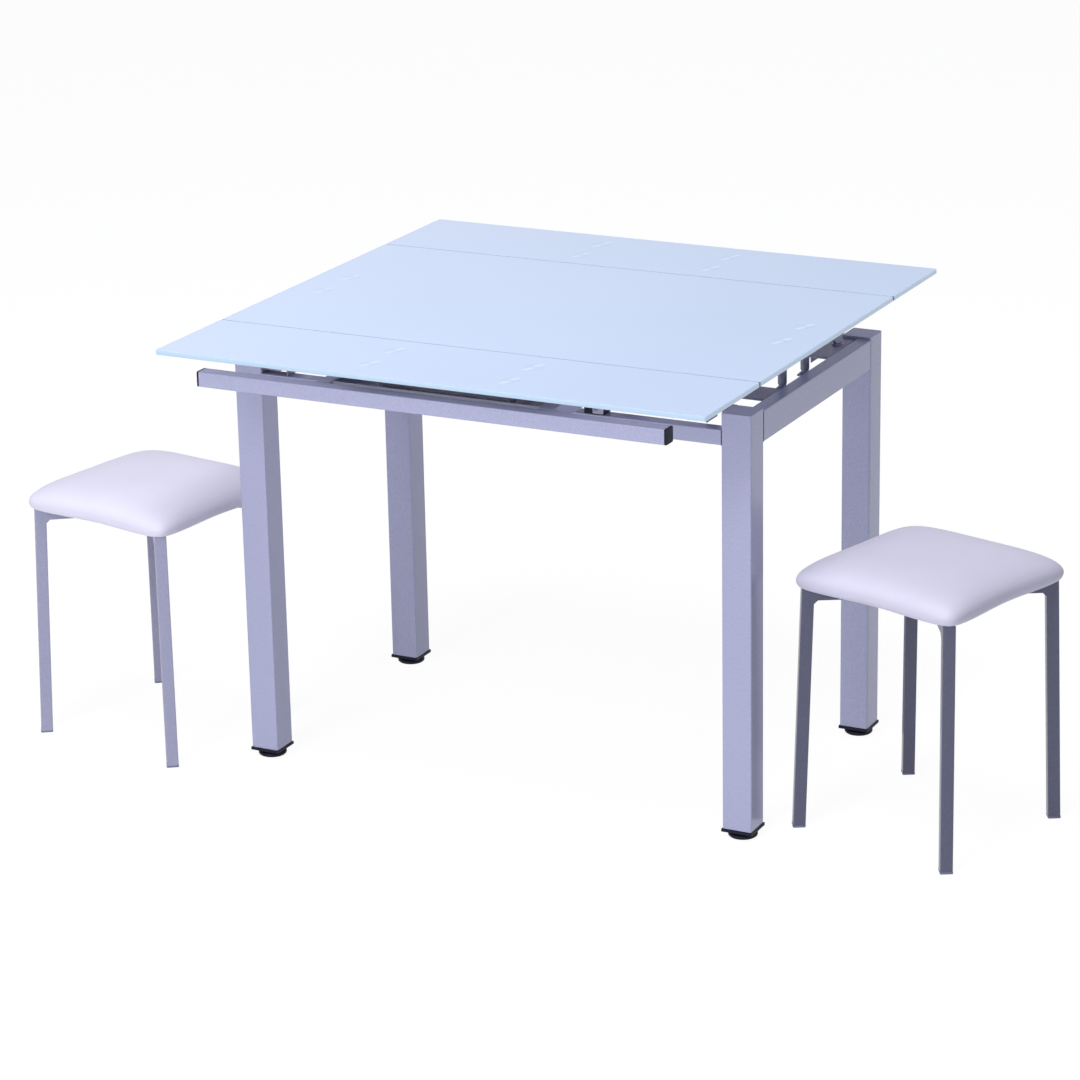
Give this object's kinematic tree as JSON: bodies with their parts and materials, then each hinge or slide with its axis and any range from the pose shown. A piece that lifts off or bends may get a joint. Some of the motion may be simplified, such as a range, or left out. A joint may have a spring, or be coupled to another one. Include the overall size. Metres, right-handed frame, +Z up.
{
  "type": "extending kitchen table with stools",
  "caption": "Extending kitchen table with glass leaves that lift level with the centre glass, on a square-leg metal frame, with padded square stools.",
  "frame": {"origin": "on the floor, under the middle of the box around the whole set", "axes": "+X along the seams of the glass towards the right stool, +Y from the front leaf towards the back leaf, +Z up"},
  "size_m": [1.7236, 0.952, 0.76],
  "materials": {
    "silver_grey_paint": "smooth satin powder coat with a faint metallic grain",
    "pale_blue_glass": "toughened glass with a pale blue white coating underneath and ground edges",
    "black_plastic": "matt moulded plastic",
    "zinc_plated_steel": "dull zinc plating",
    "white_leatherette": "fine grained white artificial leather",
    "plywood": "plain plywood"
  },
  "bodies": {
    "table": {"leg_front_left": "silver_grey_paint", "leg_front_right": "silver_grey_paint", "leg_back_left": "silver_grey_paint", "leg_back_right": "silver_grey_paint", "foot_insert_front_left": "black_plastic", "foot_insert_front_right": "black_plastic", "foot_insert_back_left": "black_plastic", "foot_insert_back_right": "black_plastic", "side_rail_left": "silver_grey_paint", "side_rail_right": "silver_grey_paint", "long_rail_front": "silver_grey_paint", "long_rail_back": "silver_grey_paint", "cross_plate_front": "silver_grey_paint", "cross_plate_back": "silver_grey_paint", "corner_bracket_front_left": "silver_grey_paint", "corner_bracket_front_right": "silver_grey_paint", "corner_bracket_back_right": "silver_grey_paint", "glass_post_front_left": "silver_grey_paint", "glass_post_front_right": "silver_grey_paint", "glass_post_back_left": "silver_grey_paint", "glass_post_back_right": "silver_grey_paint", "glass_centre": "pale_blue_glass", "pull_bar_front": "silver_grey_paint", "pull_bar_back": "silver_grey_paint", "bar_cap_front_left": "black_plastic", "bar_cap_front_right": "black_plastic", "bar_cap_back_left": "black_plastic", "bar_cap_back_right": "black_plastic", "arm_front_left": "silver_grey_paint", "arm_front_right": "silver_grey_paint", "arm_back_left": "silver_grey_paint", "arm_back_right": "silver_grey_paint", "arm_guide_front_left": "black_plastic", "arm_guide_front_right": "black_plastic", "arm_guide_back_left": "black_plastic", "arm_guide_back_right": "black_plastic", "tray_front": "zinc_plated_steel", "tray_back": "zinc_plated_steel"},
    "glide_front_left": {"glide_front_left": "black_plastic"},
    "glide_front_right": {"glide_front_right": "black_plastic"},
    "glide_back_left": {"glide_back_left": "black_plastic"},
    "glide_back_right": {"glide_back_right": "black_plastic"},
    "outer_rod_front": {"outer_rod_front": "zinc_plated_steel"},
    "inner_rod_front": {"inner_rod_front": "zinc_plated_steel"},
    "leaf_front": {"glass_leaf_front": "pale_blue_glass", "leaf_bracket_front_left": "zinc_plated_steel", "leaf_bracket_front_right": "zinc_plated_steel"},
    "outer_rod_back": {"outer_rod_back": "zinc_plated_steel"},
    "inner_rod_back": {"inner_rod_back": "zinc_plated_steel"},
    "leaf_back": {"glass_leaf_back": "pale_blue_glass", "leaf_bracket_back_left": "zinc_plated_steel", "leaf_bracket_back_right": "zinc_plated_steel"},
    "stool_left": {"stool_left_lower_hoop": "silver_grey_paint", "stool_left_upper_hoop": "silver_grey_paint", "stool_left_board": "plywood", "stool_left_cushion": "white_leatherette"},
    "stool_right": {"stool_right_lower_hoop": "silver_grey_paint", "stool_right_upper_hoop": "silver_grey_paint", "stool_right_board": "plywood", "stool_right_cushion": "white_leatherette"}
  },
  "joints": [
    {"name": "leaf_front_lift", "type": "hinge", "parent": "table", "child": "outer_rod_front", "pos_m": [-0.00536, -0.391, 0.7165], "axis": [1, 0, 0], "range_deg": [0, 66]},
    {"name": "leaf_front_level", "type": "hinge", "parent": "outer_rod_front", "child": "leaf_front", "pos_m": [-0.00536, -0.38738, 0.74225], "axis": [1, 0, 0], "range_deg": [-66, 0]},
    {"name": "inner_rod_front_swing", "type": "hinge", "parent": "table", "child": "inner_rod_front", "pos_m": [-0.00536, -0.331, 0.7165], "axis": [1, 0, 0], "range_deg": [0, 66]},
    {"name": "leaf_back_lift", "type": "hinge", "parent": "table", "child": "outer_rod_back", "pos_m": [-0.00536, 0.391, 0.7165], "axis": [-1, 0, 0], "range_deg": [0, 66]},
    {"name": "leaf_back_level", "type": "hinge", "parent": "outer_rod_back", "child": "leaf_back", "pos_m": [-0.00536, 0.38738, 0.74225], "axis": [-1, 0, 0], "range_deg": [-66, 0]},
    {"name": "inner_rod_back_swing", "type": "hinge", "parent": "table", "child": "inner_rod_back", "pos_m": [-0.00536, 0.331, 0.7165], "axis": [-1, 0, 0], "range_deg": [0, 66]},
    {"name": "glide_front_left_level", "type": "slide", "parent": "table", "child": "glide_front_left", "axis": [0, 0, -1], "range_m": [0, 0.008]},
    {"name": "glide_front_right_level", "type": "slide", "parent": "table", "child": "glide_front_right", "axis": [0, 0, -1], "range_m": [0, 0.008]},
    {"name": "glide_back_left_level", "type": "slide", "parent": "table", "child": "glide_back_left", "axis": [0, 0, -1], "range_m": [0, 0.008]},
    {"name": "glide_back_right_level", "type": "slide", "parent": "table", "child": "glide_back_right", "axis": [0, 0, -1], "range_m": [0, 0.008]},
    {"name": "stool_left_pull_out", "type": "slide", "parent": "table", "child": "stool_left", "axis": [-1, 0, 0], "range_m": [0, 0.3]},
    {"name": "stool_right_pull_out", "type": "slide", "parent": "table", "child": "stool_right", "axis": [1, 0, 0], "range_m": [0, 0.3]}
  ],
  "couplings": [
    {"joint": "leaf_front_level", "follows": "leaf_front_lift", "ratio": -1},
    {"joint": "inner_rod_front_swing", "follows": "leaf_front_lift", "ratio": 1},
    {"joint": "leaf_back_level", "follows": "leaf_back_lift", "ratio": -1},
    {"joint": "inner_rod_back_swing", "follows": "leaf_back_lift", "ratio": 1}
  ]
}
